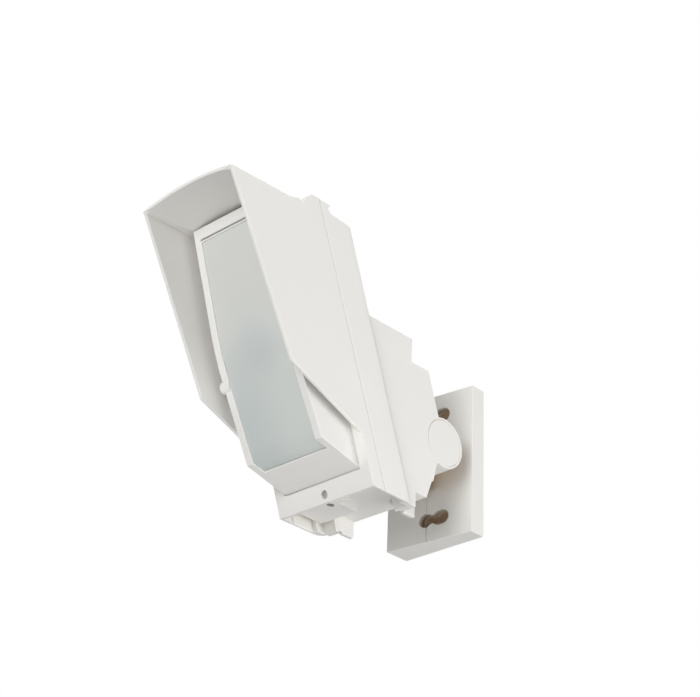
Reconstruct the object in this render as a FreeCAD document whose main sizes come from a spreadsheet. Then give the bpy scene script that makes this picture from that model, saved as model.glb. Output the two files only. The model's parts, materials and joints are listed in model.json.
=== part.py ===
import FreeCAD, Part
import os
import re
import Sketcher

# Outdoor motion detector on a swivel wall bracket, in millimetres.
# Origin: centre of the wall plate's back face. +Z is up, -Y is the way it looks
# and +X is to the right of someone in the room who looks at the wall.
# Heights and reaches of the head are counted from the tilt axis.

os.makedirs("parts", exist_ok=True)
doc = FreeCAD.newDocument("MotionDetector")
sheet = doc.addObject("Spreadsheet::Sheet", "Dims")

sizes = {
    # wall plate, a wedge that is thicker at its left edge
    "plateWidth": 65.8,
    "plateHeight": 104,
    "plateThickLeft": 19.6,
    "plateThickRight": 11.7,
    "plateWall": 3,
    "slotRadius": 4.9,
    "slotPitch": 12.7,
    "slotShift": 3.55,
    "slotStretch": 2.6,
    "slotWaist": 6,
    "slotFloor": 3,
    "wallScrewRadius": 2.3,
    "screwSpacing": 73,
    "slotRim": 3,
    "ribThick": 2.2,
    "ribSpacing": 28,
    "grooveWidth": 0.9,
    "grooveDepth": 1.2,
    "grooveShift": 0.9,
    # swivel arm between the plate and the head
    "panStand": 6.35,
    "armLength": 20.6,
    "pivotDrop": 3.1,
    "panBoltRadius": 2.5,
    "boltPlay": 0.06,
    "tongueRadius": 5,
    "tongueHeight": 8,
    "tonguePlay": 0.2,
    "clevisWall": 5.8,
    "clevisRim": 0.4,
    "neckWidth": 24,
    "knuckleWidth": 38,
    "knuckleSink": 1,
    "tiltBoltRadius": 3,
    "headRim": 2.4,
    "headThick": 3.8,
    "washerThick": 1.3,
    "washerRim": 6.5,
    "panWasherThick": 1,
    # stepped rear block with the two ears
    "blockInset": 3.5,
    "blockWall": 2.4,
    "earRadius": 17,
    "knuckleRoom": 0.2,
    "reliefAngle": 20,
    "upperStepHeight": 61.1,
    "upperStepReach": 32.4,
    "stepDrop": 16.4,
    "blockDrop": 43.4,
    "jogHigh": 22,
    "jogLow": 29.9,
    "jogOut": 1.3,
    "skirtRun": 9.9,
    "skirtDrop": 53.4,
    "lugInner": 24.4,
    "lugThick": 3.2,
    "lugWidth": 10,
    "lugLead": 9,
    "capRim": 1.5,
    "capThick": 2,
    "capSink": 0.25,
    "capPlay": 0.1,
    "recessPlay": 0.7,
    # head shells
    "bodyWidth": 80,
    "shellWall": 2.2,
    "leanAngle": 20.4,
    "seamAngle": 21.3,
    "footDrop": 54.7,
    "bandReach": 67,
    "seamDepth": 10.3,
    "seamGap": 0.4,
    "baseDepth": 37.1,
    "baseTopDrop": 7.2,
    "floorLift": 8.9,
    "cornerRadius": 6.5,
    "ridgeHeight": 120.2,
    "ridgeDepth": 10.5,
    "ridgeLip": 3,
    "ridgeUndercut": 2.2,
    "hoodRun": 74,
    "roofDrop": 10.8,
    "roofAngle": 2.4,
    "roofCrown": 4.4,
    "roofRise": 2.4,
    "notchRun": 13.5,
    "riseRun": 3.6,
    "roofBendRun": 7.4,
    "ridgeFall": 5.2,
    "ridgeNose": 7.2,
    "kinkStand": 52.3,
    "kinkHeight": -0.3,
    "kinkRound": 3,
    "flankLift": 30.8,
    # lens frame and lens
    "frameInset": 8,
    "frameWall": 2,
    "frameGap": 0.15,
    "frameHeadroom": 1,
    "topStand": 37.2,
    "bendHeight": 27.2,
    "bendStand": 39.85,
    "bendRadius": 215,
    "toeLift": 20.1,
    "toeStand": 29.9,
    "chinLift": 18,
    "chinStand": 21.3,
    "chinRearLift": 11.8,
    "flangeGap": 2.3,
    "flangeThick": 1.6,
    "fitGap": 0.15,
    "lensBar": 5.4,
    "lensHeadBar": 8.8,
    "lensSink": 0.8,
    "lensThick": 1.2,
    "lensRim": 2.9,
    "lensSeat": 0.35,
    "rimThick": 1,
    "toeTurn": 0.8,
    "toeFloor": 0.93,
    "retainerThick": 1.6,
    "slitLift": 1,
    "slitWidth": 1.1,
    "slitDepth": 6,
    "stubRadius": 4.2,
    "stubInset": 3.3,
    "stubHeight": 11,
    "stubLong": 2.4,
    # circuit board and what it carries, along the front plane from its foot
    "boardDepth": 20,
    "boardThick": 1.6,
    "boardGap": 4.8,
    "boardLow": 14,
    "boardLength": 136,
    "boardScrewInset": 5,
    "shroudWidth": 50,
    "shroudLow": 38,
    "shroudLength": 90,
    "shroudWall": 1.5,
    "shroudFront": 6,
    "sensorRadius": 4.6,
    "sensorTall": 4.5,
    "sensorLow": 66,
    "sensorPitch": 34,
    "ledAlong": 32,
    "ledRadius": 1.5,
    "ledTall": 4,
    "terminalInsetLeft": 9,
    "terminalInsetRight": 17,
    "terminalHeight": 11,
    "terminalThick": 9,
    "terminalHole": 1.9,
    "terminalHoleDeep": 4,
    "relayWidth": 15,
    "relayHeight": 10,
    "relayThick": 7,
    "relayInset": 9,
    "relayLow": 56,
    "chipSize": 12,
    "chipLow": 92,
    "chipThick": 1.4,
    "jumperInset": 17,
    "jumperLow": 20,
    "jumperWidth": 8,
    "jumperHeight": 12,
    "jumperThick": 6,
    "capacitorInset": 11,
    "capacitorLow": 60,
    "capacitorPitch": 10,
    "capacitorHigh": 120,
    "capacitorRadius": 3.1,
    "capacitorTall": 8,
    # screws, their bosses and the underside
    "bossRadius": 3.2,
    "screwRadius": 1.25,
    "screwHeadRadius": 2.4,
    "screwHeadThick": 1.8,
    "screwPlay": 0.05,
    "screwRoom": 0.2,
    "blockScrewLow": 32,
    "blockScrewHigh": 100,
    "blockBossLong": 12,
    "frameScrewLow": 30,
    "frameScrewHigh": 150,
    "lockLift": 5,
    "lockBoreRadius": 2.6,
    "lockBoreDeep": 3.4,
    "lockBossRadius": 4,
    "lockBossLong": 5.6,
    "lockWall": 1.6,
    "baseBossLong": 11,
    "lidThick": 3.1,
    "lidInset": 3,
    "lidLength": 22.4,
    "lidGap": 0.4,
    "lidScrewSide": 9.9,
    "lidScrewRun": 17.1,
    "lidScrewSink": 0.6,
    "glandSide": 18.5,
    "glandRun": 7.1,
    "glandRadius": 4.7,
    "glandTall": 1.2,
    "glandNeck": 3.8,
    "glandBore": 2.6,
    "glandFlange": 4.6,
    "glandLip": 1.5,
}
for row, (alias, number) in enumerate(sizes.items(), start=1):
    sheet.set("A%d" % row, alias)
    sheet.set("B%d" % row, str(number))
    sheet.setAlias("B%d" % row, alias)
doc.recompute()


def front_at(height):
    return "(bandReach + ((%s) + footDrop) * tan(leanAngle))" % height


def seam_at(height):
    return "(bandReach - seamDepth + ((%s) + footDrop) * tan(seamAngle))" % height


def rear_at(height):
    return "(bandReach - baseDepth + ((%s) + footDrop) * tan(leanAngle))" % height


def relief_at(height):
    return "((%s) * tan(reliefAngle))" % height


# Places and sizes that follow from the ones above
follows = {
    "panReach": "(plateThickLeft + plateThickRight) / 2 + panStand",
    "pivotReach": "panReach + armLength",
    "clevisHeight": "tongueHeight + 2 * tonguePlay + 2 * clevisWall",
    "clevisRadius": "tongueRadius + clevisRim",
    "knuckleRadius": "earRadius - knuckleSink",
    "capRadius": "earRadius - capRim",
    "headRadius": "tiltBoltRadius + headRim",
    "washerRadius": "tiltBoltRadius + washerRim",
    "blockWidth": "bodyWidth - 2 * blockInset",
    "halfBlock": "blockWidth / 2",
    "blockScrewSide": "halfBlock - blockWall - bossRadius - 3 * screwRoom",
    "lowerStepHeight": "upperStepHeight - stepDrop",
    "skirtReach": relief_at("blockDrop") + " + skirtRun",
    "lugNear": "skirtReach - lugLead",
    "lugFar": "lugNear + lugWidth",
    "glandReach": relief_at("blockDrop") + " + glandRun",
    "halfBody": "bodyWidth / 2",
    "innerHalf": "halfBody - shellWall",
    "wallRun": "shellWall / cos(leanAngle)",
    "rearDepth": "baseDepth * cos(leanAngle)",
    "floorUnder": "floorLift - footDrop",
    "floorTop": "floorUnder + shellWall",
    "baseTop": "ridgeHeight - baseTopDrop",
    "roofHeight": "ridgeHeight - roofDrop",
    "notchReach": seam_at("ridgeHeight") + " + notchRun",
    "roofRiseReach": "notchReach + riseRun",
    "roofBendReach": "roofRiseReach + roofBendRun",
    "hoodReach": seam_at("ridgeHeight") + " + hoodRun",
    "tipHeight": "roofHeight - (hoodReach - roofBendReach) * tan(roofAngle)",
    "kinkReach": front_at("kinkHeight") + " + kinkStand",
    "flankFoot": "flankLift - footDrop",
    "frameWidth": "bodyWidth - 2 * frameInset",
    "frameTop": "roofHeight - shellWall - frameHeadroom",
    "frameTopReach": front_at("frameTop") + " + topStand",
    "bendReach": front_at("bendHeight") + " + bendStand",
    "toeHeight": "toeLift - footDrop",
    "toeReach": front_at("toeHeight") + " + toeStand",
    "toeSlope": "(bendReach - toeReach) / (bendHeight - toeHeight)",
    "chinHeight": "chinLift - footDrop",
    "chinReach": front_at("chinHeight") + " + chinStand",
    "chinRear": "chinRearLift - footDrop",
    "frameBack": "wallRun + fitGap",
    "flangeWidth": "2 * (innerHalf - flangeGap)",
    "lensWidth": "frameWidth - 2 * lensBar",
    "lensTop": "frameTop - lensHeadBar",
    "stubReach": "bendReach - (bendHeight - stubHeight) * toeSlope - stubInset",
    "boardWidth": "2 * (innerHalf - boardGap)",
    "boardHigh": "boardLow + boardLength",
    "boardBack": "boardDepth + boardThick",
    "boardScrewSide": "boardWidth / 2 - boardScrewInset",
    "terminalWidth": "boardWidth - terminalInsetLeft - terminalInsetRight",
    "terminalShift": "(terminalInsetRight - terminalInsetLeft) / 2",
    "relaySide": "boardWidth / 2 - relayInset",
    "jumperSide": "boardWidth / 2 - jumperInset - jumperWidth",
    "capacitorSide": "boardWidth / 2 - capacitorInset",
    "shroudHigh": "shroudLow + shroudLength",
    "frameScrewSide": "frameWidth / 2 + frameGap + screwHeadRadius / 2 + 2 * screwRoom",
    "lidNear": rear_at("floorUnder") + " + lidInset",
    "lidFar": "lidNear + lidLength",
    "lidInner": "screwRadius + lockWall + screwRoom",
    "lidScrewReach": "lidNear + lidScrewRun",
}


def bound(text):
    # a size's plain word becomes a reference to its cell
    def cell(word):
        name = word.group()
        if name in follows:
            return "(%s)" % bound(follows[name])
        return "Dims." + name if name in sizes else name
    return re.sub(r"[A-Za-z]+", cell, str(text))


def number_of(text):
    return float(sheet.evalExpression(bound(text)))


# Places on the head, as (y, z) or as distances from the tilt axis

def head(reach, height):
    return "-(pivotReach + (%s))" % reach, "(%s) - pivotDrop" % height


def lean(depth, along):
    # depth is counted back from the front plane, along is counted up it from its foot
    reach = "bandReach + (%s) * sin(leanAngle) - (%s) * cos(leanAngle)" % (along, depth)
    height = "(%s) * cos(leanAngle) + (%s) * sin(leanAngle) - footDrop" % (along, depth)
    return head(reach, height)


# Sketches and solids

def plane_of(body, role):
    return [item for item in body.Origin.OriginFeatures if item.Role == role][0]


def sketch_on(body, role, offset):
    # offset is the plane's own coordinate: x for YZ, y for XZ, z for XY
    sketch = body.newObject("Sketcher::SketchObject", body.Name + "Sketch")
    sketch.AttachmentSupport = [(plane_of(body, role), "")]
    sketch.MapMode = "FlatFace"
    sign = "-" if role == "XZ_Plane" else ""
    sketch.setExpression("AttachmentOffset.Base.z", bound("%s(%s)" % (sign, offset)))
    return sketch


def lean_sketch(body, depth):
    # local x is X, local y runs up the front plane from its foot
    sketch = sketch_on(body, "XZ_Plane", "0")
    turn = FreeCAD.Rotation(FreeCAD.Vector(1, 0, 0), 20)
    sketch.AttachmentOffset = FreeCAD.Placement(FreeCAD.Vector(0, 0, 0), turn)
    y, z = lean(depth, "0")
    sketch.setExpression("AttachmentOffset.Rotation.Angle", bound("leanAngle"))
    sketch.setExpression("AttachmentOffset.Base.y", bound(z))
    sketch.setExpression("AttachmentOffset.Base.z", bound("-(%s)" % y))
    return sketch


def pin_point(sketch, geometry, end, across, up):
    for kind, text in (("DistanceX", across), ("DistanceY", up)):
        item = Sketcher.Constraint(kind, geometry, end, number_of(text))
        index = sketch.addConstraint(item)
        sketch.setExpression("Constraints[%d]" % index, bound(text))


def draw_outline(sketch, corners):
    start = sketch.GeometryCount
    count = len(corners)
    spots = [FreeCAD.Vector(number_of(a), number_of(b), 0) for a, b in corners]
    for i in range(count):
        sketch.addGeometry(Part.LineSegment(spots[i], spots[(i + 1) % count]), False)
    for i in range(count):
        after = start + (i + 1) % count
        sketch.addConstraint(Sketcher.Constraint("Coincident", start + i, 2, after, 1))
    for i in range(count):
        pin_point(sketch, start + i, 1, *corners[i])


def draw_box(sketch, left, low, right, high):
    draw_outline(sketch, [(left, low), (right, low), (right, high), (left, high)])


def draw_circle(sketch, across, up, radius):
    index = sketch.GeometryCount
    centre = FreeCAD.Vector(number_of(across), number_of(up), 0)
    circle = Part.Circle(centre, FreeCAD.Vector(0, 0, 1), number_of(radius))
    sketch.addGeometry(circle, False)
    item = sketch.addConstraint(Sketcher.Constraint("Radius", index, number_of(radius)))
    sketch.setExpression("Constraints[%d]" % item, bound(radius))
    pin_point(sketch, index, 3, across, up)


def extrude(body, kind, sketch, length):
    # both ways from the sketch; a pocket has to take something away
    feature = body.newObject("PartDesign::" + kind, body.Name + kind)
    before = body.Shape.Volume if kind == "Pocket" else 0
    feature.Profile = sketch
    feature.SideType = "Symmetric"
    feature.setExpression("Length", bound(length))
    sketch.Visibility = False
    body.Tip = feature
    doc.recompute()
    if kind == "Pocket" and feature.Shape.Volume >= before:
        raise RuntimeError("a pocket cuts nothing in " + body.Label)
    return feature


def new_body(label):
    body = doc.addObject("PartDesign::Body", label)
    body.Label = label
    return body


def slab(body, kind, corners, width, middle="0"):
    # an outline in the YZ plane, carried across X
    sketch = sketch_on(body, "YZ_Plane", middle)
    draw_outline(sketch, corners)
    return extrude(body, kind, sketch, width)


def rod(body, kind, circles, role, middle, length):
    sketch = sketch_on(body, role, middle)
    for across, up, radius in circles:
        draw_circle(sketch, across, up, radius)
    return extrude(body, kind, sketch, length)


def lean_rod(body, kind, circles, near, far):
    sketch = lean_sketch(body, "((%s) + (%s)) / 2" % (near, far))
    for across, up, radius in circles:
        draw_circle(sketch, across, up, radius)
    return extrude(body, kind, sketch, "(%s) - (%s)" % (far, near))


def lean_box(body, kind, boxes, near, far):
    sketch = lean_sketch(body, "((%s) + (%s)) / 2" % (near, far))
    for left, low, right, high in boxes:
        draw_box(sketch, left, low, right, high)
    return extrude(body, kind, sketch, "(%s) - (%s)" % (far, near))


def round_edges(body, radius, chosen):
    edges = ["Edge%d" % (i + 1) for i, edge in enumerate(body.Shape.Edges) if chosen(edge)]
    sharp = body.Tip
    fillet = body.newObject("PartDesign::Fillet", body.Name + "Fillet")
    fillet.Base = (sharp, edges)
    body.Tip = fillet
    fillet.setExpression("Radius", bound(radius))
    doc.recompute()


def runs_across(edge, reach, height, slack=0.05):
    # true for an edge along X that passes through this place on the head
    y, z = head(reach, height)
    ends = [vertex.Point for vertex in edge.Vertexes]
    return len(ends) == 2 and abs(ends[0].x - ends[1].x) > 1 and all(
        abs(end.y - number_of(y)) < slack and abs(end.z - number_of(z)) < slack for end in ends)


def mirror_pair(side, along, radius):
    return [(side, along, radius), ("-(%s)" % side, along, radius)]


def board_screw_spots(radius):
    return (mirror_pair("boardScrewSide", "boardLow + boardScrewInset", radius)
            + mirror_pair("boardScrewSide", "boardHigh - boardScrewInset", radius))


def block_screw_spots(radius):
    return (mirror_pair("blockScrewSide", "blockScrewLow", radius)
            + mirror_pair("blockScrewSide", "blockScrewHigh", radius))


# Wall plate

def make_wall_plate():
    body = new_body("wall_plate")
    half = "(plateWidth / 2)"
    slope = "((plateThickLeft - plateThickRight) / plateWidth)"

    def face(x):
        # the front face's distance from the wall at this x
        return "(plateThickRight + %s * (%s - (%s)))" % (slope, half, x)

    outline = sketch_on(body, "XY_Plane", "0")
    draw_outline(outline, [("-" + half, "0"), (half, "0"), (half, "-plateThickRight"),
                           ("-" + half, "-plateThickLeft")])
    extrude(body, "Pad", outline, "plateHeight")

    left = "(plateWall - %s)" % half
    right = "(%s - plateWall)" % half
    hollow = sketch_on(body, "XY_Plane", "0")
    draw_outline(hollow, [(left, "plateWall"), (right, "plateWall"),
                          (right, "plateWall - %s" % face(right)),
                          (left, "plateWall - %s" % face(left))])
    extrude(body, "Pocket", hollow, "plateHeight - 2 * plateWall")

    reach = "(slotPitch / 2 + slotRadius + slotRim)"
    rise = "(slotRadius + slotRim)"
    bosses = sketch_on(body, "XZ_Plane", "-plateThickRight / 2 + slotRim / 4")
    for level in ("screwSpacing / 2", "-screwSpacing / 2"):
        draw_box(bosses, "slotShift - " + reach, "%s - %s" % (level, rise),
                 "slotShift + " + reach, "%s + %s" % (level, rise))
    extrude(body, "Pad", bosses, "plateThickRight - slotRim / 2")

    # a block behind the tongue, flush with the wall
    anchor = sketch_on(body, "XZ_Plane", "-plateThickRight / 2 + slotRim / 4")
    draw_box(anchor, "-ribSpacing / 2", "-pivotDrop - tongueHeight", "ribSpacing / 2",
             "-pivotDrop + tongueHeight")
    extrude(body, "Pad", anchor, "plateThickRight - slotRim / 2")

    for side in ("-ribSpacing / 2", "ribSpacing / 2"):
        rib = sketch_on(body, "XY_Plane", "0")
        draw_box(rib, "%s - ribThick / 2" % side, "plateWall / 2 - " + face(side),
                 "%s + ribThick / 2" % side, "-plateWall / 2")
        extrude(body, "Pad", rib, "plateHeight - plateWall")

    # figure-8 recesses for the screw heads, with a hole in the floor of each lobe
    lobe = "(slotShift - slotPitch / 2)"
    far_lobe = "(slotShift + slotPitch / 2)"
    levels = ("screwSpacing / 2", "-screwSpacing / 2")
    middle, deep = "-slotFloor - 2 * plateThickLeft", "4 * plateThickLeft"
    for place in (lobe, far_lobe, far_lobe + " - slotStretch"):
        spots = [(place, level, "slotRadius") for level in levels]
        rod(body, "Pocket", spots, "XZ_Plane", middle, deep)
    for left, right, width in ((lobe, far_lobe, "slotWaist"),
                               (far_lobe + " - slotStretch", far_lobe, "2 * slotRadius - 0.02")):
        waists = sketch_on(body, "XZ_Plane", middle)
        for level in levels:
            draw_box(waists, left, "%s - (%s) / 2" % (level, width),
                     right, "%s + (%s) / 2" % (level, width))
        extrude(body, "Pocket", waists, deep)
    holes = [(place, level, "wallScrewRadius") for level in levels for place in (lobe, far_lobe)]
    rod(body, "Pocket", holes, "XZ_Plane", "0", deep)

    groove = sketch_on(body, "XY_Plane", "-(plateHeight / 2 + pivotDrop + tongueHeight) / 2")
    line = lobe + " + grooveShift"
    draw_box(groove, line + " - grooveWidth / 2", "-plateThickLeft - plateWall",
             line + " + grooveWidth / 2", "grooveDepth - %s" % face(line))
    extrude(body, "Pocket", groove, "plateHeight / 2 - pivotDrop - tongueHeight")

    # the tongue that the swivel arm is bolted to
    tongue = sketch_on(body, "XY_Plane", "-pivotDrop")
    draw_box(tongue, "-tongueRadius", "-panReach", "tongueRadius",
             "plateWall / 2 - %s" % face("tongueRadius"))
    extrude(body, "Pad", tongue, "tongueHeight")
    rod(body, "Pad", [("0", "-panReach", "tongueRadius")], "XY_Plane", "-pivotDrop", "tongueHeight")
    rod(body, "Pocket", [("0", "-panReach", "panBoltRadius + boltPlay")], "XY_Plane",
        "-pivotDrop", "tongueHeight + plateWall")
    return body


# Swivel arm: a clevis on the pan bolt and a knuckle between the head's ears

def make_swivel_arm():
    body = new_body("swivel_arm")
    rod(body, "Pad", [("-pivotReach", "-pivotDrop", "knuckleRadius")], "YZ_Plane", "0",
        "knuckleWidth")
    neck = sketch_on(body, "XY_Plane", "-pivotDrop")
    root = "(knuckleRadius - pivotReach)"
    draw_outline(neck, [("-neckWidth / 2", "-pivotReach"), ("neckWidth / 2", "-pivotReach"),
                        ("neckWidth / 2", root), ("clevisRadius", root),
                        ("clevisRadius", "-panReach"), ("-clevisRadius", "-panReach"),
                        ("-clevisRadius", root), ("-neckWidth / 2", root)])
    extrude(body, "Pad", neck, "clevisHeight")
    rod(body, "Pad", [("0", "-panReach", "clevisRadius")], "XY_Plane", "-pivotDrop",
        "clevisHeight")
    slot = sketch_on(body, "XY_Plane", "-pivotDrop")
    draw_box(slot, "-neckWidth", "-panReach - tongueRadius - tonguePlay", "neckWidth", "0")
    extrude(body, "Pocket", slot, "tongueHeight + 2 * tonguePlay")
    rod(body, "Pocket", [("0", "-panReach", "panBoltRadius + boltPlay")], "XY_Plane",
        "-pivotDrop", "clevisHeight + plateWall")
    rod(body, "Pocket", [("-pivotReach", "-pivotDrop", "tiltBoltRadius + boltPlay")],
        "YZ_Plane", "0", "knuckleWidth + plateWall")
    return body


def make_pan_bolt():
    body = new_body("pan_bolt")
    length = "(clevisHeight + panWasherThick + headThick)"
    rod(body, "Pad", [("0", "-panReach", "panBoltRadius")], "XY_Plane",
        "-pivotDrop + (panWasherThick + headThick) / 2", length)
    rod(body, "Pad", [("0", "-panReach", "headRadius * 0.85")], "XY_Plane",
        "-pivotDrop - clevisHeight / 2 - headThick / 2", "headThick")
    return body


def make_pan_nut():
    body = new_body("pan_nut")
    level = "-pivotDrop + clevisHeight / 2 + panWasherThick + headThick / 2"
    hexagon(body, "XY_Plane", "0", "-panReach", "headRadius * 0.9", level, "headThick")
    rod(body, "Pocket", [("0", "-panReach", "panBoltRadius + boltPlay")], "XY_Plane", level,
        "headThick + 1")
    return body


def make_pan_washer():
    body = new_body("pan_washer")
    level = "-pivotDrop + clevisHeight / 2 + panWasherThick / 2"
    rod(body, "Pad", [("0", "-panReach", "clevisRadius")], "XY_Plane", level, "panWasherThick")
    rod(body, "Pocket", [("0", "-panReach", "panBoltRadius + boltPlay")], "XY_Plane", level,
        "panWasherThick + 1")
    return body


def hexagon(body, role, across, up, radius, middle, length):
    sketch = sketch_on(body, role, middle)
    corners = []
    for step in range(6):
        angle = 60 * step
        corners.append(("%s + %s * cos(%d)" % (across, radius, angle),
                        "%s + %s * sin(%d)" % (up, radius, angle)))
    draw_outline(sketch, corners)
    return extrude(body, "Pad", sketch, length)


# Rear block: stepped back, relieved either side of the ears

def make_rear_housing():
    body = new_body("rear_housing")
    step, low = "upperStepHeight", "lowerStepHeight"
    slab(body, "Pad", [
        head(rear_at(step), step),
        head("upperStepReach", step),
        head("upperStepReach", low),
        head(relief_at(low), low),
        head("0", "0"),
        head(relief_at("jogHigh"), "-jogHigh"),
        head(relief_at("jogLow") + " - jogOut", "-jogLow"),
        head(relief_at("jogLow + jogOut"), "-jogLow - jogOut"),
        head(relief_at("blockDrop"), "-blockDrop"),
        head("skirtReach", "-blockDrop"),
        head("skirtReach", "-skirtDrop"),
        head(rear_at("-skirtDrop"), "-skirtDrop"),
    ], "blockWidth")
    rod(body, "Pad", [("-pivotReach", "-pivotDrop", "earRadius")], "YZ_Plane", "0", "blockWidth")

    # the hollow, with a three-sided wall round the knuckle's place
    ring = "(earRadius + knuckleRoom + blockWall)"
    slab(body, "Pocket", [
        head(rear_at(step) + " + 5", "upperStepHeight - blockWall"),
        head("upperStepReach + blockWall", "upperStepHeight - blockWall"),
        head("upperStepReach + blockWall", "lowerStepHeight - blockWall"),
        head(relief_at(low) + " + blockWall", "lowerStepHeight - blockWall"),
        head("0.55 * " + ring, "1.05 * " + ring),
        head("0.9 * " + ring, "0.56 * " + ring),
        head("1.06 * " + ring, "0"),
        head("0.9 * " + ring, "-0.56 * " + ring),
        head("0.55 * " + ring, "-1.05 * " + ring),
        head(relief_at("blockDrop") + " + blockWall", "blockWall - blockDrop"),
        head(rear_at("blockWall - blockDrop") + " + 5", "blockWall - blockDrop"),
    ], "blockWidth - 2 * blockWall")
    rod(body, "Pocket", [("-pivotReach", "-pivotDrop", "earRadius + knuckleRoom")], "YZ_Plane",
        "0", "knuckleWidth + 2 * washerThick")

    # the skirt is open between the two lugs
    slab(body, "Pocket", [
        head("skirtReach - 1", "-blockDrop"),
        head(rear_at("-blockDrop") + " + 3", "-blockDrop"),
        head(rear_at("-blockDrop") + " + 3", "-skirtDrop - 1"),
        head("skirtReach - 1", "-skirtDrop - 1"),
    ], "2 * lugInner")
    for side in ("", "-"):
        slab(body, "Pad", [
            head("lugNear", "blockWall / 2 - blockDrop"),
            head("lugFar", "blockWall / 2 - blockDrop"),
            head("lugFar", "-footDrop"),
            head("lugNear", "-footDrop"),
        ], "lugThick", side + "(lugInner + lugThick / 2)")

    # bores for the tilt bolt, places for its head and nut, seats for the caps
    axis = ("-pivotReach", "-pivotDrop")
    rod(body, "Pocket", [axis + ("tiltBoltRadius + boltPlay",)], "YZ_Plane", "0", "blockWidth + 1")
    for side in ("", "-"):
        rod(body, "Pocket", [axis + ("capRadius",)], "YZ_Plane",
            side + "(halfBlock + 1 - (capThick + capSink) / 2)", "capThick + capSink + 2")
        rod(body, "Pocket", [axis + ("headRadius + recessPlay",)], "YZ_Plane",
            side + "(halfBlock - capThick - capSink - headThick / 2)",
            "headThick + 2 * recessPlay")

    # screw bosses along the side walls
    near, far = "rearDepth", "rearDepth + blockBossLong"
    for level in ("blockScrewLow", "blockScrewHigh"):
        reach = "(blockScrewSide + bossRadius)"
        boxes = [("blockScrewSide - bossRadius", level + " - bossRadius", reach + " + 1",
                  level + " + bossRadius"),
                 ("-%s - 1" % reach, level + " - bossRadius", "bossRadius - blockScrewSide",
                  level + " + bossRadius")]
        lean_box(body, "Pad", boxes, near, far)
    holes = block_screw_spots("screwRadius + screwPlay")
    lean_rod(body, "Pocket", holes, near + " - 1", near + " + blockBossLong - 2")

    # cable way through the underside
    rod(body, "Pocket", [("glandSide", "-(pivotReach + glandReach)", "glandNeck")], "XY_Plane",
        "-pivotDrop - blockDrop + blockWall / 2", "blockWall + 2")
    return body


def make_cable_gland():
    body = new_body("cable_gland")
    spot = ("glandSide", "-(pivotReach + glandReach)")
    under = "(-pivotDrop - blockDrop)"
    rod(body, "Pad", [spot + ("glandRadius",)], "XY_Plane", under + " - glandTall / 2", "glandTall")
    rod(body, "Pad", [spot + ("glandNeck",)], "XY_Plane", under + " + blockWall / 2", "blockWall")
    rod(body, "Pad", [spot + ("glandFlange",)], "XY_Plane", under + " + blockWall + glandLip / 2",
        "glandLip")
    rod(body, "Pocket", [spot + ("glandBore",)], "XY_Plane", under + " + blockWall / 2",
        "blockWall + 2 * (glandTall + glandLip)")
    return body


def make_tilt_bolt():
    body = new_body("tilt_bolt")
    axis = ("-pivotReach", "-pivotDrop")
    seat = "(halfBlock - capThick - capSink - headThick - recessPlay)"
    rod(body, "Pad", [axis + ("tiltBoltRadius",)], "YZ_Plane", "-headThick / 2",
        "2 * %s + headThick" % seat)
    rod(body, "Pad", [axis + ("headRadius",)], "YZ_Plane", seat + " + headThick / 2", "headThick")
    return body


def make_tilt_nut():
    body = new_body("tilt_nut")
    seat = "(halfBlock - capThick - capSink - headThick - recessPlay)"
    hexagon(body, "YZ_Plane", "-pivotReach", "-pivotDrop", "headRadius",
            "-%s - headThick / 2" % seat, "headThick")
    rod(body, "Pocket", [("-pivotReach", "-pivotDrop", "tiltBoltRadius + boltPlay")], "YZ_Plane",
        "-%s - headThick / 2" % seat, "headThick + 1")
    return body


def make_tilt_washer(label, side):
    body = new_body(label)
    middle = side + "(knuckleWidth / 2 + washerThick / 2 + boltPlay / 2)"
    rod(body, "Pad", [("-pivotReach", "-pivotDrop", "washerRadius")], "YZ_Plane", middle,
        "washerThick - boltPlay")
    rod(body, "Pocket", [("-pivotReach", "-pivotDrop", "tiltBoltRadius + boltPlay")], "YZ_Plane",
        middle, "washerThick + 1")
    return body


def make_pivot_cap(label, side):
    body = new_body(label)
    rod(body, "Pad", [("-pivotReach", "-pivotDrop", "capRadius - capPlay")], "YZ_Plane",
        side + "(halfBlock - capSink - capThick / 2)", "capThick")
    return body


# Base housing: the box behind the seam, with an open recess under its floor

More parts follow.
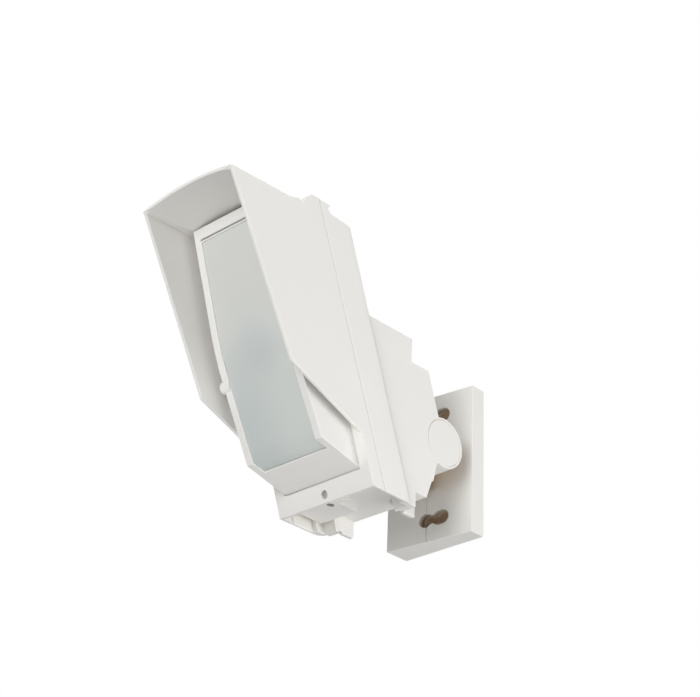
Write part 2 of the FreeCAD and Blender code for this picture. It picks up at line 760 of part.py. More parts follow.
def make_base_housing():
    body = new_body("base_housing")
    ridgeRear = "(%s - ridgeDepth)" % seam_at("ridgeHeight")
    half = "seamGap / 2"
    slab(body, "Pad", [
        head(seam_at("ridgeHeight") + " - " + half, "ridgeHeight"),
        head(ridgeRear, "ridgeHeight - 0.3"),
        head(ridgeRear + " + ridgeUndercut", "ridgeHeight - ridgeLip"),
        head(ridgeRear + " - 0.4", "baseTop + 1.2"),
        head(rear_at("baseTop"), "baseTop"),
        head(rear_at("-footDrop"), "-footDrop"),
        head(seam_at("-footDrop") + " - " + half, "-footDrop"),
    ], "bodyWidth")

    # the two leaning rear corners are rounded off in three flats
    y, z = head(rear_at("-footDrop"), "-footDrop")
    corners = sketch_on(body, "XY_Plane", "0")
    turn = FreeCAD.Rotation(FreeCAD.Vector(1, 0, 0), 20)
    corners.AttachmentOffset = FreeCAD.Placement(FreeCAD.Vector(0, 0, 0), turn)
    corners.setExpression("AttachmentOffset.Rotation.Angle", bound("leanAngle"))
    corners.setExpression("AttachmentOffset.Base.y", bound(y))
    corners.setExpression("AttachmentOffset.Base.z", bound(z))
    for side in ("", "-"):
        arc = [(side + "(halfBody - cornerRadius * (1 - sin(%d)))" % turned,
                "-cornerRadius * (1 - cos(%d))" % turned) for turned in (0, 30, 60, 90)]
        draw_outline(corners, arc + [(side + "(halfBody + 2)", "-cornerRadius"),
                                     (side + "(halfBody + 2)", "2"),
                                     (side + "(halfBody - cornerRadius)", "2")])
    extrude(body, "Pocket", corners, "6 * ridgeHeight")

    # the hollow, narrower near the rear wall so that the rounded corners keep a wall
    top = "(baseTop - shellWall)"
    narrow = "(cornerRadius + shellWall)"
    slab(body, "Pocket", [
        head(seam_at(top) + " + 5", top),
        head(rear_at(top) + " + " + narrow, top),
        head(rear_at("floorTop") + " + " + narrow, "floorTop"),
        head(seam_at("floorTop") + " + 5", "floorTop"),
    ], "2 * innerHalf")
    slab(body, "Pocket", [
        head(seam_at(top), top),
        head(rear_at(top) + " + wallRun", top),
        head(rear_at("floorTop") + " + wallRun", "floorTop"),
        head(seam_at("floorTop"), "floorTop"),
    ], "2 * (innerHalf - cornerRadius / 2)")
    slab(body, "Pocket", [
        head(seam_at(top) + " + 5", top + " - 1"),
        head(seam_at(top) + " + 5", "ridgeHeight - shellWall"),
        head(seam_at("ridgeHeight") + " - 4", "ridgeHeight - shellWall"),
        head(seam_at("ridgeHeight") + " - 6", top + " - 1"),
    ], "2 * innerHalf")

    # the recess below the floor, its rear wall open between the lugs
    slab(body, "Pocket", [
        head(seam_at("floorUnder") + " + 5", "floorUnder"),
        head(rear_at("floorUnder") + " + " + narrow, "floorUnder"),
        head(rear_at("-footDrop - 2") + " + " + narrow, "-footDrop - 2"),
        head(seam_at("-footDrop - 2") + " + 5", "-footDrop - 2"),
    ], "2 * innerHalf")
    slab(body, "Pocket", [
        head(seam_at("floorUnder") + " - 1", "floorUnder"),
        head(rear_at("floorUnder") + " + wallRun", "floorUnder"),
        head(rear_at("-footDrop - 2") + " + wallRun", "-footDrop - 2"),
        head(seam_at("-footDrop - 2") + " - 1", "-footDrop - 2"),
    ], "2 * (innerHalf - cornerRadius / 2)")
    slab(body, "Pocket", [
        head(rear_at("floorUnder") + " + 5", "floorUnder"),
        head(rear_at("floorUnder") + " - 3", "floorUnder"),
        head(rear_at("-footDrop - 2") + " - 3", "-footDrop - 2"),
        head(rear_at("-footDrop - 2") + " + 5", "-footDrop - 2"),
    ], "2 * lugInner")

    # bosses that carry the circuit board
    back = "(rearDepth - shellWall / 2)"
    lean_rod(body, "Pad", board_screw_spots("bossRadius"), "boardBack", back)
    pilots = board_screw_spots("screwRadius + screwPlay")
    lean_rod(body, "Pocket", pilots, "boardBack - 1", "boardBack + 6")

    rod(body, "Pocket", [("-lidScrewSide", "-(pivotReach + lidScrewReach)",
                          "screwRadius + screwPlay")], "XY_Plane",
        "-pivotDrop + floorUnder", "shellWall * 1.9")

    # holes for the screws into the rear block
    holes = block_screw_spots("screwRadius + screwPlay")
    lean_rod(body, "Pocket", holes, "rearDepth - shellWall - 6", "rearDepth + 1")

    # the nut boss behind the band's lock screw
    near = "(seamDepth * cos(leanAngle) + seamGap)"
    far = "(%s + baseBossLong)" % near
    half = "(screwRadius + lockWall)"
    lean_box(body, "Pad", [("-" + half, "lockLift - lockBossRadius", half,
                            "lockLift + lockBossRadius - 1")], near, far)
    lean_rod(body, "Pocket", [("0", "lockLift", "screwRadius + screwPlay")], near + " - 1",
             far + " - 2")
    return body


def make_lower_lid():
    # the wiring lid under the left half of the floor
    body = new_body("wiring_lid")
    sketch = sketch_on(body, "XY_Plane", "-pivotDrop + floorUnder - lidThick / 2")
    left = "(cornerRadius / 2 + lidGap - innerHalf)"
    draw_box(sketch, left, "-(pivotReach + lidFar)", "-lidInner", "-(pivotReach + lidNear)")
    extrude(body, "Pad", sketch, "lidThick")
    under = "(-pivotDrop + floorUnder - lidThick)"
    spot = ("-lidScrewSide", "-(pivotReach + lidScrewReach)")
    rod(body, "Pocket", [spot + ("screwHeadRadius + screwRoom",)], "XY_Plane", under,
        "2 * (lidScrewSink + screwHeadThick)")
    rod(body, "Pocket", [spot + ("screwRadius + screwPlay",)], "XY_Plane", under, "4 * lidThick")
    return body


def make_lid_screw():
    body = new_body("wiring_lid_screw")
    under = "(-pivotDrop + floorUnder - lidThick)"
    spot = ("-lidScrewSide", "-(pivotReach + lidScrewReach)")
    rod(body, "Pad", [spot + ("screwHeadRadius",)], "XY_Plane",
        under + " + lidScrewSink + screwHeadThick / 2", "screwHeadThick")
    rod(body, "Pad", [spot + ("screwRadius",)], "XY_Plane",
        under + " + lidThick + 0.8 - lidThick / 2", "lidThick + 1.2")
    return body


# Front cover: hood, flanks, front wall and band in one moulding

def make_front_cover():
    body = new_body("front_cover")
    half = "seamGap / 2"
    slab(body, "Pad", [
        head("hoodReach", "tipHeight"),
        head("roofBendReach", "roofHeight"),
        head("roofRiseReach", "roofHeight + roofRise"),
        head("notchReach", "roofHeight - 0.3"),
        head("notchReach - 1.4", "ridgeHeight - ridgeFall"),
        head("notchReach - ridgeNose", "ridgeHeight"),
        head(seam_at("ridgeHeight") + " + " + half, "ridgeHeight"),
        head(seam_at("-footDrop") + " + " + half, "-footDrop"),
        head("bandReach", "-footDrop"),
        head(front_at("flankFoot"), "flankFoot"),
        head("kinkReach", "kinkHeight"),
    ], "bodyWidth")
    round_edges(body, "kinkRound", lambda edge: runs_across(edge, "kinkReach", "kinkHeight"))

    front = "-(pivotReach + hoodReach)"
    crown_cap(body, "Pad", "halfBody", "tipHeight - pivotDrop", front,
              "-(pivotReach + roofRiseReach)")

    # under the hood
    under = "(roofHeight - shellWall)"
    slab(body, "Pocket", [
        head("hoodReach + 10", "tipHeight - shellWall - 10 * tan(roofAngle)"),
        head("roofBendReach", under),
        head(front_at(under), under),
        head(front_at("-footDrop - 5"), "-footDrop - 5"),
        head("hoodReach + 10", "-footDrop - 5"),
    ], "2 * innerHalf")
    crown_cap(body, "Pocket", "innerHalf", "tipHeight - pivotDrop - shellWall", front + " - 10",
              "-(pivotReach + %s)" % front_at("roofHeight"))

    # behind the front wall, above and below the floor
    def behind(height):
        return "(%s - wallRun)" % front_at(height)

    high = "(ridgeHeight - shellWall)"
    for bottom, top in (("floorTop", high), ("(-footDrop - 5)", "floorUnder")):
        slab(body, "Pocket", [
            head(behind(bottom), bottom),
            head(behind(top), top),
            head(seam_at(top) + " - 5", top),
            head(seam_at(bottom) + " - 5", bottom),
        ], "2 * innerHalf")

    # opening for the lens frame
    low, upper = "(chinRear - frameGap)", "(frameTop + frameGap)"
    slab(body, "Pocket", [
        head(front_at(low) + " + 3", low),
        head(front_at(upper) + " + 3", upper),
        head(front_at(upper) + " - 4", upper),
        head(front_at(low) + " - 4", low),
    ], "frameWidth + 2 * frameGap")

    # pilot holes for the lens frame's screws
    lean_rod(body, "Pocket", frame_screw_spots("screwRadius + screwPlay"), "0.3", "shellWall + 1")

    # the lock screw's boss and its recessed bore
    lean_rod(body, "Pad", [("0", "lockLift", "lockBossRadius")], "shellWall / 2", "lockBossLong")
    lean_rod(body, "Pocket", [("0", "lockLift", "lockBoreRadius")], "-1", "lockBoreDeep")
    lean_rod(body, "Pocket", [("0", "lockLift", "screwRadius + screwRoom")], "-1", "seamDepth")
    return body


def crown_cap(body, kind, half, base, near, far):
    # a shallow arch across the hood's roof, carried along Y
    sketch = sketch_on(body, "XZ_Plane", "((%s) + (%s)) / 2" % (near, far))
    width, rise = number_of(half), number_of("roofCrown")
    level = number_of(base)
    radius = "((%s) * (%s) + roofCrown * roofCrown) / (2 * roofCrown)" % (half, half)
    left, right = FreeCAD.Vector(-width, level, 0), FreeCAD.Vector(width, level, 0)
    top = FreeCAD.Vector(0, level + rise, 0)
    sketch.addGeometry(Part.Arc(right, top, left), False)
    corners = [left, left - FreeCAD.Vector(0, 1, 0), right - FreeCAD.Vector(0, 1, 0), right]
    for i in range(3):
        sketch.addGeometry(Part.LineSegment(corners[i], corners[i + 1]), False)
    for first, end, second, start in ((0, 2, 1, 1), (1, 2, 2, 1), (2, 2, 3, 1), (3, 2, 0, 1)):
        sketch.addConstraint(Sketcher.Constraint("Coincident", first, end, second, start))
    index = sketch.addConstraint(Sketcher.Constraint("Radius", 0, number_of(radius)))
    sketch.setExpression("Constraints[%d]" % index, bound(radius))
    pin_point(sketch, 1, 1, "-(%s)" % half, base)
    pin_point(sketch, 1, 2, "-(%s)" % half, "(%s) - 1" % base)
    pin_point(sketch, 2, 2, half, "(%s) - 1" % base)
    pin_point(sketch, 3, 2, half, base)
    return extrude(body, kind, sketch, "(%s) - (%s)" % (far, near))


def frame_screw_spots(radius):
    return (mirror_pair("frameScrewSide", "frameScrewLow", radius)
            + mirror_pair("frameScrewSide", "frameScrewHigh", radius))


def make_cover_gasket():
    body = new_body("cover_gasket")
    edge = "0.5"
    top, bottom = "(ridgeHeight - %s)" % edge, "(floorUnder + %s)" % edge
    inner = "(shellWall - %s)" % edge
    half = "seamGap / 2"

    def strip(low, high, room):
        return [head("%s + %s" % (seam_at(low), room), low),
                head("%s + %s" % (seam_at(high), room), high),
                head("%s - %s" % (seam_at(high), room), high),
                head("%s - %s" % (seam_at(low), room), low)]

    slab(body, "Pad", strip(bottom, top, half), "bodyWidth - 2 * %s" % edge)
    slab(body, "Pocket", strip("(floorTop - %s)" % edge, "(ridgeHeight - %s)" % inner, "2"),
         "bodyWidth - 2 * " + inner)
    return body


# Lens frame: a box that stands out of the front wall and carries the lens

def face_line(sink):
    # the frame's face, set back by sink: top, bend and toe
    return [("frameTopReach - (%s)" % sink, "frameTop"),
            ("bendReach - (%s)" % sink, "bendHeight"),
            ("toeReach - (%s)" % sink, "toeHeight")]


def face_reach(height):
    # reach of the frame's face at a height above the bend
    return ("(bendReach + ((%s) - bendHeight) * (frameTopReach - bendReach)"
            " / (frameTop - bendHeight))" % height)


def make_lens_frame():
    body = new_body("lens_frame")
    points = [head(r, z) for r, z in face_line("0")]
    points.append(head("chinReach", "chinHeight"))
    points.append(head(front_at("chinRear") + " - frameBack", "chinRear"))
    points.append(head(front_at("frameTop") + " - frameBack", "frameTop"))
    slab(body, "Pad", points, "frameWidth")
    round_edges(body, "bendRadius", lambda edge: runs_across(edge, "bendReach", "bendHeight"))

    low, high = "(floorTop + fitGap)", "(frameTop - frameWall)"
    slab(body, "Pad", [
        head(front_at(low) + " - frameBack", low),
        head(front_at(high) + " - frameBack", high),
        head(front_at(high) + " - frameBack - flangeThick", high),
        head(front_at(low) + " - frameBack - flangeThick", low),
    ], "flangeWidth")

    # round stubs on both side walls
    rod(body, "Pad", [(head("stubReach", "0")[0], head("0", "stubHeight")[1], "stubRadius")],
        "YZ_Plane", "0", "frameWidth + 2 * stubLong")

    inner = [head(r, z) for r, z in face_line("frameWall + 0.2")]
    inner[0] = head(face_reach("frameTop - frameWall") + " - frameWall - 0.2",
                    "frameTop - frameWall")
    inner.append(head("chinReach - 1", "chinHeight + frameWall"))
    inner.append(head(front_at("chinRear + frameWall") + " - 8", "chinRear + frameWall"))
    inner.append(head(front_at("frameTop - frameWall") + " - 8", "frameTop - frameWall"))
    slab(body, "Pocket", inner, "frameWidth - 2 * frameWall")

    # the lens opening runs down to the chin's front edge
    slab(body, "Pocket", [
        head("frameTopReach + 10", "lensTop"),
        head(face_reach("lensTop") + " - 4", "lensTop"),
        head("bendReach - 4", "bendHeight"),
        head("toeReach - 4.5", "toeHeight + 2.5"),
        head("chinReach - 0.5", "chinHeight + 3"),
        head("chinReach - 0.5", "chinHeight - 3"),
        head("frameTopReach + 10", "chinHeight - 3"),
    ], "lensWidth")

    # the dark slit above the lens
    low, high = "(lensTop + slitLift)", "(lensTop + slitLift + slitWidth)"
    slab(body, "Pocket", [
        head(face_reach(low) + " + 3", low),
        head(face_reach(high) + " + 3", high),
        head(face_reach(high) + " - slitDepth", high),
        head(face_reach(low) + " - slitDepth", low),
    ], "lensWidth + 1")
    lean_rod(body, "Pocket", frame_screw_spots("screwRadius + screwRoom"), "shellWall",
             "shellWall + flangeThick + 3")
    return body


def sheet_outline(outer, inner, top):
    # a band along the frame's face and round its toe, between two depths
    points = []
    for depth in (outer, inner):
        line = [head(face_reach(top) + " - (%s)" % depth, top),
                head("bendReach - (%s)" % depth, "bendHeight"),
                head("toeReach - (%s) * (1 - toeTurn * toeSlope)" % depth,
                     "toeHeight + (%s) * toeTurn" % depth),
                head("chinReach", "chinHeight + (%s) * toeFloor" % depth)]
        points += line if depth == outer else line[::-1]
    return points


def make_lens():
    body = new_body("lens")
    depth = "(frameWall + lensSeat + rimThick)"
    slab(body, "Pad", sheet_outline("lensSink", depth, "(lensTop - fitGap)"),
         "lensWidth - 2 * fitGap")
    slab(body, "Pad", sheet_outline("frameWall + lensSeat", depth, "(lensTop - fitGap)"),
         "lensWidth + 2 * lensRim")
    slab(body, "Pocket", sheet_outline("lensSink + lensThick", depth + " + 3", "(lensTop - 2)"),
         "lensWidth - 2")
    return body


def make_lens_retainer():
    body = new_body("lens_retainer")
    near = "(frameWall + lensSeat + rimThick + fitGap)"
    slab(body, "Pad", sheet_outline(near, near + " + retainerThick", "(lensTop - fitGap)"),
         "lensWidth + 2 * lensRim")
    slab(body, "Pocket", [
        head("frameTopReach + 10", "lensTop - 5"),
        head("chinReach - 20", "lensTop - 5"),
        head("chinReach - 20", "toeHeight + 6"),
        head("frameTopReach + 10", "toeHeight + 6"),
    ], "lensWidth - 3")
    return body


# Inside the head

def make_circuit_board():
    body = new_body("circuit_board")
    lean_box(body, "Pad", [("-boardWidth / 2", "boardLow", "boardWidth / 2", "boardHigh")],
             "boardDepth", "boardDepth + boardThick")
    holes = board_screw_spots("screwRadius + screwRoom")
    lean_rod(body, "Pocket", holes, "boardDepth - 1", "boardBack + 1")
    return body


def make_optical_shroud():
    body = new_body("optical_shroud")
    lean_box(body, "Pad", [("-shroudWidth / 2", "shroudLow", "shroudWidth / 2", "shroudHigh")],
             "shroudFront", "boardDepth")
    lean_box(body, "Pocket", [("shroudWall - shroudWidth / 2", "shroudLow + shroudWall",
                               "shroudWidth / 2 - shroudWall", "shroudHigh - shroudWall")],
             "shroudFront - 1", "boardDepth + 1")
    return body


def make_sensor(label, along):
    body = new_body(label)
    lean_rod(body, "Pad", [("0", along, "sensorRadius")], "boardDepth - sensorTall", "boardDepth")
    lean_rod(body, "Pad", [("0", along, "sensorRadius - 0.6")], "boardDepth - sensorTall - 0.3",
             "boardDepth - sensorTall + 1")
    return body


def make_board_block(label, left, low, right, high, thick, behind=True):
    # a part soldered to the board, on its back or on its front
    body = new_body(label)
    if behind:
        near, far = "boardBack", "boardBack + (%s)" % thick
    else:
        near, far = "boardDepth - (%s)" % thick, "boardDepth"
    lean_box(body, "Pad", [(left, low, right, high)], near, far)
    return body


def make_terminal_block():
    half, low = "terminalWidth / 2", "boardLow + terminalHeight / 5"
    body = make_board_block("terminal_block", "-terminalShift - " + half, low,
                            half + " - terminalShift", low + " + terminalHeight",
                            "terminalThick")
    holes = [("-terminalShift + terminalWidth * %.1f" % share, low + " + terminalHeight / 2",
              "terminalHole") for share in (-0.4, -0.2, 0, 0.2, 0.4)]
    far = "boardBack + terminalThick"
    lean_rod(body, "Pocket", holes, far + " - terminalHoleDeep", far + " + 1")
    return body


def make_screws(label, spots, seat, length, forward=False):
    # screws square to the front plane; the head bears on seat, the shank goes back or forward
    body = new_body(label)
    body.AllowCompound = True
    heads = [(across, along, "screwHeadRadius") for across, along, radius in spots]
    shanks = [(across, along, "screwRadius") for across, along, radius in spots]
    if forward:
        lean_rod(body, "Pad", heads, seat, "(%s) + screwHeadThick" % seat)
        lean_rod(body, "Pad", shanks, "(%s) - (%s)" % (seat, length), "(%s) + 0.5" % seat)
    else:
        lean_rod(body, "Pad", heads, "(%s) - screwHeadThick" % seat, seat)
        lean_rod(body, "Pad", shanks, "(%s) - 0.5" % seat, "(%s) + (%s)" % (seat, length))
    return body


wall_plate = make_wall_plate()
swivel_arm = make_swivel_arm()
nodes = [wall_plate, swivel_arm, make_pan_bolt(), make_pan_nut(), make_pan_washer()]
nodes += [make_rear_housing(), make_cable_gland(), make_tilt_bolt(), make_tilt_nut(),
          make_tilt_washer("tilt_washer_right", ""), make_tilt_washer("tilt_washer_left", "-"),
          make_pivot_cap("pivot_cap_right", ""), make_pivot_cap("pivot_cap_left", "-")]
nodes += [make_base_housing(), make_lower_lid(), make_lid_screw(), make_front_cover(),
          make_cover_gasket(),
          make_lens_frame(), make_lens(), make_lens_retainer()]
nodes += [make_circuit_board(), make_optical_shroud(),
          make_sensor("sensor_lower", "sensorLow"),
          make_sensor("sensor_upper", "sensorLow + sensorPitch"),
          make_terminal_block(),
          make_board_block("alarm_relay", "-relaySide", "relayLow", "relayWidth - relaySide",
                           "relayLow + relayHeight", "relayThick"),
          make_board_block("processor_chip", "-chipSize / 2", "chipLow", "chipSize / 2",
                           "chipLow + chipSize", "chipThick"),
          make_board_block("jumper_block", "jumperSide", "jumperLow", "jumperSide + jumperWidth",
                           "jumperLow + jumperHeight", "jumperThick", behind=False)]

nodes += [make_screws("board_screws", board_screw_spots("0"), "boardDepth", "6"),
          make_screws("rear_housing_screws", block_screw_spots("0"), "rearDepth - shellWall - 4",
                      "blockBossLong"),
          make_screws("lens_frame_screws", frame_screw_spots("0"),
                      "frameBack * cos(leanAngle) + flangeThick", "3.2", forward=True),
          make_screws("cover_lock_screw", [("0", "lockLift", "0")], "lockBoreDeep", "12")]

led = new_body("status_led")
lean_rod(led, "Pad", [("0", "ledAlong", "ledRadius")], "boardDepth - ledTall", "boardDepth")
nodes.append(led)
capacitors = new_body("board_capacitors")
capacitors.AllowCompound = True
spots = [("capacitorSide", along, "capacitorRadius")
         for along in ("capacitorLow", "capacitorLow + capacitorPitch", "capacitorHigh")]
lean_rod(capacitors, "Pad", spots, "boardBack", "boardBack + capacitorTall")
nodes.append(capacitors)

doc.recompute()
for item in doc.Objects:
    if "Invalid" in item.State or "Error" in item.State:
        raise RuntimeError("failed: %s %s" % (item.Name, item.State))
labels = [node.Label for node in nodes]
if len(set(labels)) != len(labels):
    raise RuntimeError("two sub-parts share a name")
for node in nodes:
    if node.Shape.isNull() or not node.Shape.isValid() or not node.Shape.Solids:
        raise RuntimeError("bad shape: " + node.Label)
for node in nodes:
    node.Shape.exportStep("parts/%s.step" % node.Label)
    box = node.Shape.BoundBox
    print("%-22s %d solid(s) %9.1f mm3  x %.1f..%.1f  y %.1f..%.1f  z %.1f..%.1f" % (
        node.Label, len(node.Shape.Solids), node.Shape.Volume, box.XMin, box.XMax, box.YMin,
        box.YMax, box.ZMin, box.ZMax))
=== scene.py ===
import json
import math
import bmesh
import bpy
from mathutils import Matrix, Vector

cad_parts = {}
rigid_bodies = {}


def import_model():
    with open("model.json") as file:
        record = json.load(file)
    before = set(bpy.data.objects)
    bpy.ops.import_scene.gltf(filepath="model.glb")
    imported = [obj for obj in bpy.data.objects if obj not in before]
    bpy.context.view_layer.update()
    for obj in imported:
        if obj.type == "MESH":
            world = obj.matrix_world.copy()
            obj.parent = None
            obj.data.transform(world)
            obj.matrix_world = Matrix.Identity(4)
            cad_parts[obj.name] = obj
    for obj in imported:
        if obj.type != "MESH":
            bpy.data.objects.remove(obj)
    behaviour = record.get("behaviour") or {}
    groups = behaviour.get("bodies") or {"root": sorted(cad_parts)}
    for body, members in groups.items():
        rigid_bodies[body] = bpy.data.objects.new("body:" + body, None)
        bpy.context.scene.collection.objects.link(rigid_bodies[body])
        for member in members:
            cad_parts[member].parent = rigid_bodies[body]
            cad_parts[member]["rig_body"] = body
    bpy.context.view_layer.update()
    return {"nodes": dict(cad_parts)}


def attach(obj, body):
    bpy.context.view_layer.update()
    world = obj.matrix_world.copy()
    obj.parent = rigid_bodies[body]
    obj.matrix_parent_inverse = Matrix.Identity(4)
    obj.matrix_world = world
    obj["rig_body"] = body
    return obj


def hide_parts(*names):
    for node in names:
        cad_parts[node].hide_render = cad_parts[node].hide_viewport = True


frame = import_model()
nodes = frame["nodes"]
scene = bpy.context.scene
print("frame loaded,", len(nodes), "parts")


def addPiece(name, mesh, body, material, replaced=()):
    piece = bpy.data.objects.new(name, mesh)
    scene.collection.objects.link(piece)
    mesh.materials.clear()
    mesh.materials.append(material)
    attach(piece, body)
    if replaced:
        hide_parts(*replaced)
    return piece


def paint(node, material):
    part = nodes[node]
    for slot in part.material_slots:
        slot.material = material
    if not part.material_slots:
        part.data.materials.append(material)


def directionTo(azimuth, elevation):
    # from the part's middle; the azimuth runs from its front towards the viewer's right
    around = math.radians(azimuth)
    above = math.radians(elevation)
    return Vector((math.sin(around) * math.cos(above), -math.cos(around) * math.cos(above),
                   math.sin(above)))


# The camera, fitted to the photograph.
cameraSetup = {
    "lens": 94.71,
    "sensor": 36.0,
    "shiftX": 0.0410,
    "shiftY": -0.0222,
    "azimuth": 45.795,
    "elevation": -29.40,
    "roll": 2.972,
    "place": (0.7289, -0.8297, -0.5171),
    "nearest": 0.05,
    "farthest": 50,
}


def addCamera():
    around = math.radians(cameraSetup["azimuth"])
    roll = math.radians(cameraSetup["roll"])
    back = directionTo(cameraSetup["azimuth"], cameraSetup["elevation"])
    right = Vector((math.cos(around), math.sin(around), 0))
    up = right.cross(-back)
    turnedRight = right * math.cos(roll) + up * math.sin(roll)
    turnedUp = -right * math.sin(roll) + up * math.cos(roll)
    data = bpy.data.cameras.new("photo_camera")
    data.sensor_width = cameraSetup["sensor"]
    data.lens = cameraSetup["lens"]
    data.shift_x = cameraSetup["shiftX"]
    data.shift_y = cameraSetup["shiftY"]
    data.clip_start = cameraSetup["nearest"]
    data.clip_end = cameraSetup["farthest"]
    camera = bpy.data.objects.new("photo_camera", data)
    turn = Matrix((turnedRight, turnedUp, back)).transposed()
    camera.matrix_world = Matrix.Translation(cameraSetup["place"]) @ turn.to_4x4()
    scene.collection.objects.link(camera)
    scene.camera = camera


addCamera()
print("camera set")


# Steps that the node trees share. A value is a number, a colour or another node's output.
def setSocket(tree, socket, value):
    if isinstance(value, (int, float, tuple)):
        socket.default_value = value
    else:
        tree.links.new(value, socket)


def addNoise(tree, vector, scale, detail):
    noise = tree.nodes.new("ShaderNodeTexNoise")
    setSocket(tree, noise.inputs["Vector"], vector)
    setSocket(tree, noise.inputs["Scale"], scale)
    noise.inputs["Detail"].default_value = detail
    noise.inputs["Roughness"].default_value = 0.55
    return noise.outputs["Fac"]


def addMath(tree, kind, first, second=0):
    step = tree.nodes.new("ShaderNodeMath")
    step.operation = kind
    setSocket(tree, step.inputs[0], first)
    setSocket(tree, step.inputs[1], second)
    return step.outputs[0]


def addRange(tree, value, low, high, newLow, newHigh):
    step = tree.nodes.new("ShaderNodeMapRange")
    step.interpolation_type = "SMOOTHSTEP"
    for label, number in (("Value", value), ("From Min", low), ("From Max", high),
                          ("To Min", newLow), ("To Max", newHigh)):
        setSocket(tree, step.inputs[label], number)
    return step.outputs["Result"]


def addMix(tree, share, first, second):
    # sockets 0, 6 and 7 and output 2 are the ones that a mix of colours uses
    step = tree.nodes.new("ShaderNodeMix")
    step.data_type = "RGBA"
    for place, value in ((0, share), (6, first), (7, second)):
        setSocket(tree, step.inputs[place], value)
    return step.outputs[2]


def addSplit(tree, vector):
    split = tree.nodes.new("ShaderNodeSeparateXYZ")
    tree.links.new(vector, split.inputs[0])
    return split.outputs


def newMaterial(name):
    material = bpy.data.materials.new(name)
    material.use_nodes = True
    tree = material.node_tree
    return material, tree, tree.nodes["Principled BSDF"]


# Light and floor. Each lamp has an azimuth from the front towards the right, an elevation,
# a distance, a width and a brightness.
lightSetup = {
    "lamps": {
        "frontBox": (20, 0, 2.0, 1.25, 6.7),
        "sideBox": (116, -16, 2.0, 1.5, 4.75),
        "topBox": (5, 80, 2.0, 2.3, 1.7),
        "highFront": (20, 35, 2.0, 1.3, 0.6),
        "tableGlow": (20, -70, 0.8, 0.7, 0.5),
        "fillBox": (-112, 22, 2.2, 1.7, 3.0),
    },
    "aim": (0.0, -0.10, 0.02),
    "skyGrey": 0.10,
    "floorHeight": -1.45,
    "floorSpan": 9.0,
    "floorGrey": 0.85,
    "floorRough": 0.9,
    "floorGloss": 0.1,
    "floorLift": 0.45,
}


def addLamp(name):
    azimuth, elevation, distance, size, brightness = lightSetup["lamps"][name]
    outward = directionTo(azimuth, elevation)
    data = bpy.data.lights.new(name, "AREA")
    data.shape = "DISK"
    data.size = size
    area = math.pi * (size / 2) ** 2
    data.energy = brightness * math.pi * area
    lamp = bpy.data.objects.new(name, data)
    lamp.rotation_mode = "QUATERNION"
    lamp.rotation_quaternion = (-outward).to_track_quat("-Z", "Y")
    lamp.location = Vector(lightSetup["aim"]) + outward * distance
    lamp.visible_camera = False
    scene.collection.objects.link(lamp)


def addSky():
    # white where the camera or a reflection looks past the part, and dim grey as a light
    world = bpy.data.worlds.new("studio")
    world.use_nodes = True
    scene.world = world
    tree = world.node_tree
    tree.nodes.clear()
    path = tree.nodes.new("ShaderNodeLightPath")
    direct = addMath(tree, "MAXIMUM", path.outputs["Is Camera Ray"],
                     path.outputs["Is Transmission Ray"])
    seen = addMath(tree, "MAXIMUM", direct, path.outputs["Is Glossy Ray"])
    grey = lightSetup["skyGrey"]
    sky = tree.nodes.new("ShaderNodeBackground")
    sky.inputs["Color"].default_value = (grey, grey, grey, 1)
    backdrop = tree.nodes.new("ShaderNodeBackground")
    backdrop.inputs["Color"].default_value = (1, 1, 1, 1)
    mix = tree.nodes.new("ShaderNodeMixShader")
    tree.links.new(seen, mix.inputs["Fac"])
    tree.links.new(sky.outputs[0], mix.inputs[1])
    tree.links.new(backdrop.outputs[0], mix.inputs[2])
    out = tree.nodes.new("ShaderNodeOutputWorld")
    tree.links.new(mix.outputs[0], out.inputs["Surface"])


def paleFloor():
    # a matt floor, lifted towards white for the camera's eye alone
    material, tree, shader = newMaterial("pale_floor")
    grey = lightSetup["floorGrey"]
    shader.inputs["Base Color"].default_value = (grey, grey, grey, 1)
    shader.inputs["Roughness"].default_value = lightSetup["floorRough"]
    shader.inputs["Specular IOR Level"].default_value = lightSetup["floorGloss"]
    lift = tree.nodes.new("ShaderNodeEmission")
    lift.inputs["Color"].default_value = (1, 1, 1, 1)
    lift.inputs["Strength"].default_value = lightSetup["floorLift"]
    unlit = tree.nodes.new("ShaderNodeEmission")
    unlit.inputs["Strength"].default_value = 0
    path = tree.nodes.new("ShaderNodeLightPath")
    either = tree.nodes.new("ShaderNodeMixShader")
    both = tree.nodes.new("ShaderNodeAddShader")
    tree.links.new(path.outputs["Is Camera Ray"], either.inputs["Fac"])
    tree.links.new(unlit.outputs[0], either.inputs[1])
    tree.links.new(lift.outputs[0], either.inputs[2])
    tree.links.new(shader.outputs[0], both.inputs[0])
    tree.links.new(either.outputs[0], both.inputs[1])
    tree.links.new(both.outputs[0], tree.nodes["Material Output"].inputs["Surface"])
    return material


def addFloor():
    bm = bmesh.new()
    bmesh.ops.create_grid(bm, x_segments=1, y_segments=1, size=lightSetup["floorSpan"])
    bmesh.ops.translate(bm, verts=bm.verts, vec=(0, 0, lightSetup["floorHeight"]))
    mesh = bpy.data.meshes.new("studio_floor")
    bm.to_mesh(mesh)
    bm.free()
    floor = bpy.data.objects.new("studio_floor", mesh)
    scene.collection.objects.link(floor)
    mesh.materials.append(paleFloor())


addSky()
addFloor()
for lampName in lightSetup["lamps"]:
    addLamp(lampName)
scene.view_settings.view_transform = "Standard"
print("stage and lamps set")


# Effects that several materials share.
def newGroup(name, inputs, outputs):
    group = bpy.data.node_groups.new(name, "ShaderNodeTree")
    for label, kind in inputs:
        group.interface.new_socket(name=label, in_out="INPUT", socket_type=kind)
    for label, kind in outputs:
        group.interface.new_socket(name=label, in_out="OUTPUT", socket_type=kind)
    start = group.nodes.new("NodeGroupInput")
    end = group.nodes.new("NodeGroupOutput")
    return group, start.outputs, end.inputs


